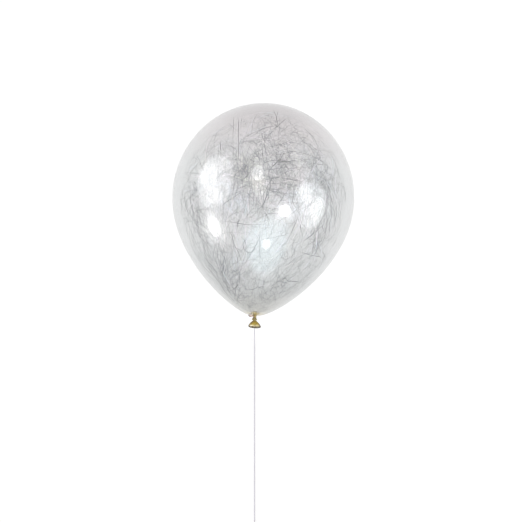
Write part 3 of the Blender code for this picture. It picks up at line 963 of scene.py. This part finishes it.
class BALLOON_OT_string(bpy.types.Operator):
    """Make the string with its knot on the neck, its coil and the coil's ties"""

    bl_idname = "balloon.string"
    bl_label = "String"

    def execute(self, context):
        thread = string_thread("string thread", (0.40, 0.38, 0.44), (0.66, 0.64, 0.68))
        route = string_route()
        left = STRING_LENGTH - reach_along(route)[-1]
        turns = coil_turns(COIL_COLUMNS * MOST_LAYERS)
        turns = evenly(turns[reach_along(turns) <= left], STRING_RADIUS)
        path = np.vstack([route, turns[1:]])
        flat = unit(np.gradient(turns, axis=0) * (1, 1, 0))
        beside = np.cross([0, 0, 1], flat)
        side = np.vstack([np.tile(ACROSS, (len(route), 1)), beside[1:]])
        points, faces = revolved(thread_points(path, side, STRING_RADIUS))
        mesh = mesh_of("string_thread", points, faces)
        made = add_piece(mesh, [thread], ("string", "string_coil"))
        # Painted shade: the turns round the waist are coloured dark amber-olive, as the shade where they
        # grip the neck.
        knot = self.knot(string_thread("thread in painted shade", (0.16, 0.12, 0.03), (0.34, 0.27, 0.08)))
        ties = [self.tie(letter, angle, thread) for letter, angle in TIE_PLACES.items()]
        return {"FINISHED"}

    def knot(self, thread):
        """A little over two turns round the waist, then a small overhand knot below them."""
        wound = np.linspace(0, KNOT_TURNS, KNOT_POINTS)
        turn = wound * 2 * math.pi + math.pi / 2
        ring = WAIST_RADIUS + GAP + STRING_RADIUS
        step = (wound - KNOT_TURNS / 2) * STRING_DIAMETER * 0.85
        turns = WAIST + np.stack([ring * np.cos(turn), step, ring * np.sin(turn)], axis=1)
        side = np.stack([np.cos(turn), 0 * turn, np.sin(turn)], axis=1)
        points, faces = revolved(thread_points(turns, side, STRING_RADIUS * 0.98))
        turn = np.arange(KNOT_POINTS) * 2 * math.pi / KNOT_POINTS
        x = np.sin(turn) + 2 * np.sin(2 * turn)
        z = np.cos(turn) - 2 * np.cos(2 * turn)
        loop = KNOT_LOOP_SIZE * np.stack([x, -np.sin(3 * turn), z], axis=1)
        loop += WAIST - [0, 0, WAIST_RADIUS + GAP + TIE_KNOT_WIDTH / 2 + 0.0001]
        side = np.cross(np.roll(loop, -1, axis=0) - np.roll(loop, 1, axis=0), [0, 1, 0])
        rings = tube_points(loop, side, STRING_RADIUS * 0.9, THREAD_SIDES)
        faces += [grid_faces(KNOT_POINTS, THREAD_SIDES, close_rows=True, first=len(points))]
        mesh = mesh_of("string_knot_turns", np.vstack([points, rings.reshape(-1, 3)]), faces)
        return add_piece(mesh, [thread], ("string_knot",))

    def tie(self, letter, angle, thread):
        """Three turns of finer thread round the coil's bundle, on a rounded square."""
        turn = np.linspace(0, TIE_TURNS, TIE_POINTS) * 2 * math.pi
        half_width = ((COIL_COLUMNS - 1) * TURN_PITCH + STRING_DIAMETER) / 2 + GAP + TIE_THICKNESS / 2
        half_height = (COIL_HIGH.z - COIL_LOW.z) / 2 + GAP + TIE_THICKNESS / 2
        norm = np.abs(np.cos(turn)) ** TIE_SQUARENESS + np.abs(np.sin(turn)) ** TIE_SQUARENESS
        norm = norm ** (1 / TIE_SQUARENESS)
        out = half_width * np.cos(turn) / norm
        up = half_height * np.sin(turn) / norm
        beside = np.linspace(-1, 1, TIE_POINTS) * (TIE_WIDTH - TIE_THICKNESS) / 2
        outward = np.array([math.cos(angle), math.sin(angle), 0])
        sideways = np.array([-math.sin(angle), math.cos(angle), 0])
        out = (COIL_MEAN_DIAMETER / 2 + out)[:, None]
        path = COIL_CENTRE + out * outward + beside[:, None] * sideways
        path[:, 2] += up
        side = np.tile(sideways, (TIE_POINTS, 1))
        points, faces = revolved(tube_points(path, side, TIE_THICKNESS / 2, TIE_SIDES))
        mesh = mesh_of(f"coil_tie_turns_{letter}", points, faces)
        return add_piece(mesh, [thread], (f"coil_tie_{letter}",))


# The stage


class StageSettings(bpy.types.PropertyGroup):
    distance: bpy.props.FloatProperty(
        name="Distance", description="From the camera to the balloon's axis", default=2.5, unit="LENGTH"
    )
    surround: bpy.props.FloatProperty(
        name="Surround", description="Brightness of the pale room around", default=1.15
    )


# Each softbox is placed by the spot of the balloon where its reflection shows: (x, y) of the spot's
# middle and its width and height in pixels of the photograph, then the light's radiance and colour
SOFTBOXES = [
    ("left_tall", (214, 181), (42, 62), 4.2, (0.98, 0.99, 1.0)),
    ("left_tall_core", (210, 176), (20, 24), 3.4, WHITE),
    ("left_tall_low", (214, 196), (18, 16), 2.8, WHITE),
    ("left_low", (214, 226), (12, 20), 14.0, WHITE),
    ("left_low_halo", (214, 226), (22, 33), 1.7, (1.0, 0.99, 0.99)),
    ("small_round", (284.5, 211), (11, 12.5), 26.0, WHITE),
    ("small_round_halo", (286, 212.5), (17, 18), 1.3, WHITE),
    ("right_tall", (311, 205), (32, 52), 3.4, (0.96, 1.0, 1.0)),
    ("right_core", (305, 194), (14, 22), 4.4, (0.97, 1.0, 1.0)),
    ("right_low_core", (317, 208), (12, 24), 4.4, (0.97, 1.0, 1.0)),
    ("high_right", (303, 172), (20, 22), 1.6, (1.0, 0.95, 0.96)),
    ("small_high", (258, 173), (13, 15), 7.6, (0.98, 1.0, 1.0)),
    ("small_high_low", (259, 184), (16, 22), 3.6, (1.0, 0.97, 0.86)),
    ("foot_wide", (267.5, 243), (48, 66), 1.3, (0.66, 0.91, 1.0)),
    ("foot_middle", (267, 243), (41, 57), 1.5, (0.67, 0.92, 1.0)),
    ("foot_inner", (267, 243), (33, 46), 1.6, (0.70, 0.93, 1.0)),
    ("foot_core", (266.5, 244), (9, 11), 10.0, (0.92, 0.99, 1.0)),
    ("foot_low", (272, 281), (40, 32), 0.7, WHITE),
]
SOFTBOX_DISTANCE = 5.0
FLOOR_HALF = 4.0
FLOOR_DROP = 0.0003


def off_middle(spots):
    """How far pixels of the photograph lie from the picture's middle, along the floor."""
    x = (spots[..., :1] - PHOTO_WIDTH / 2) * PIXEL
    y = (PHOTO_HEIGHT / 2 - spots[..., 1:]) * PIXEL
    return x * PICTURE_RIGHT + y * PICTURE_UP


def top_surface(flat):
    """The film's upper point and outward normal over a place on the plan."""
    y = flat[1]
    offset = y - EQUATOR_Y
    step = 1e-5

    def radius_at(value):
        if value > 0:
            return RADIUS * math.sqrt(max(1 - (value / CROWN_HEIGHT) ** 2, 1e-9))
        return float(lower_radius(min(-value / BODY_DEPTH, 0.999)))

    radius = radius_at(offset)
    slope = (radius_at(offset + step) - radius_at(offset - step)) / (2 * step)
    up = math.sqrt(max(radius**2 - flat[0] ** 2, 1e-9))
    normal = np.array([flat[0], -radius * slope, up])
    return np.array([flat[0], y, AXIS_HEIGHT + up]), normal / np.linalg.norm(normal)


def mirrored_place(x, y):
    """Where a light stands whose reflection in the film shows at this pixel."""
    eye = PICTURE_MIDDLE + [0, 0, AXIS_HEIGHT + bpy.context.scene.balloon_stage.distance]
    aim = PICTURE_MIDDLE + off_middle(np.array([x, y])) + [0, 0, AXIS_HEIGHT]
    point = aim
    for _ in range(ROUNDS):
        surface, normal = top_surface(point)
        share = (eye[2] - surface[2]) / (eye[2] - aim[2])
        point = eye + (aim - eye) * share
    ray = (point - eye) / np.linalg.norm(point - eye)
    mirrored = ray - 2 * ray.dot(normal) * normal
    return surface, surface + SOFTBOX_DISTANCE * mirrored


class BALLOON_OT_stage(bpy.types.Operator):
    """Make the pale floor, the soft lights and the camera above"""

    bl_idname = "balloon.stage"
    bl_label = "Stage"

    def execute(self, context):
        settings = context.scene.balloon_stage
        self.floor()
        self.lights()
        self.surround(context.scene, settings)
        self.camera(context.scene, settings)
        context.scene.view_settings.view_transform = "Standard"
        context.scene.cycles.min_light_bounces = 8
        context.scene.cycles.filter_width = 1.0
        return {"FINISHED"}

    def floor(self):
        corners = FLOOR_HALF * np.array([[-1, -1, 0], [1, -1, 0], [1, 1, 0], [-1, 1, 0]])
        corners -= [0, 0, FLOOR_DROP]
        mesh = mesh_of("floor", corners, [np.array([[0, 1, 2, 3]])])
        matt = {"Base Color": (0.9, 0.9, 0.9, 1.0), "Roughness": 0.9, "Specular IOR Level": 0.0}
        mesh.materials.append(shader_of("pale floor", matt)[0])
        made = placed(mesh)

    def lamp(self, name, place, across, up, radiance, colour):
        """An elliptical light whose half axes are across and up, facing along their cross product."""
        data = bpy.data.lights.new(name, "AREA")
        data.shape = "ELLIPSE"
        data.size, data.size_y = 2 * np.linalg.norm(across), 2 * np.linalg.norm(up)
        data.energy = radiance * math.pi * math.pi / 4 * data.size * data.size_y
        data.color = colour
        made = placed(data)
        turn = np.stack([unit(across), unit(up), unit(np.cross(across, up))], axis=1)
        made.matrix_world = Matrix.Translation(place) @ Matrix(turn.tolist()).to_4x4()
        made.visible_camera = made.visible_diffuse = made.visible_transmission = False

    def lights(self):
        """Each softbox, as wide and as high as its spot needs, facing the spot."""
        for name, (x, y), (width, height), radiance, colour in SOFTBOXES:
            surface, place = mirrored_place(x, y)
            _, beside = mirrored_place(x + width / 2, y)
            _, above = mirrored_place(x, y - height / 2)
            away = unit(place - surface)
            across = (beside - place) - (beside - place).dot(away) * away
            up = np.cross(away, unit(across))
            self.lamp(name, place, across, up * (above - place).dot(up), radiance, colour)

    def surround(self, scene, settings):
        world = bpy.data.worlds.new("pale room")
        world.use_nodes = True
        sky = world.node_tree.nodes["Background"]
        set_sockets(sky, {"Color": (*WHITE, 1.0), "Strength": settings.surround})
        world.cycles.sampling_method = "NONE"
        scene.world = world

    def camera(self, scene, settings):
        data = bpy.data.cameras.new("camera")
        data.sensor_width = 36.0
        data.lens = data.sensor_width * settings.distance / (PHOTO_HEIGHT * PIXEL)
        data.clip_end = 20.0
        made = placed(data)
        made.location = PICTURE_MIDDLE + [0, 0, AXIS_HEIGHT + settings.distance]
        made.rotation_euler = (0.0, 0.0, PICTURE_TURN)
        scene.camera = made


class BALLOON_PT_panel(bpy.types.Panel):
    """Lists the balloon's pieces and sizes"""

    bl_idname = "BALLOON_PT_panel"
    bl_label = "Confetti Balloon"
    bl_space_type = "VIEW_3D"
    bl_region_type = "UI"
    bl_category = "Balloon"

    def draw(self, context):
        for step in STEPS:
            self.layout.operator(step.bl_idname)
        for name, group in SETTINGS.items():
            settings = getattr(context.scene, name)
            for key in group.__annotations__:
                self.layout.prop(settings, key)


SETTINGS = {
    "balloon_stage": StageSettings,
    "balloon_film": FilmSettings,
    "balloon_tinsel": TinselSettings,
}
STEPS = [BALLOON_OT_stage, BALLOON_OT_string, BALLOON_OT_film, BALLOON_OT_neck, BALLOON_OT_tinsel]


def register():
    for part in (*SETTINGS.values(), *STEPS, BALLOON_PT_panel):
        bpy.utils.register_class(part)
    for name, group in SETTINGS.items():
        setattr(bpy.types.Scene, name, bpy.props.PointerProperty(type=group))


def unregister():
    for name in SETTINGS:
        delattr(bpy.types.Scene, name)
    for part in reversed((*SETTINGS.values(), *STEPS, BALLOON_PT_panel)):
        bpy.utils.unregister_class(part)


def main():
    register()
    bpy.ops.balloon.stage()
    bpy.ops.balloon.string()
    bpy.ops.balloon.film()
    bpy.ops.balloon.neck()
    bpy.ops.balloon.tinsel()


if __name__ == "__main__":
    main()
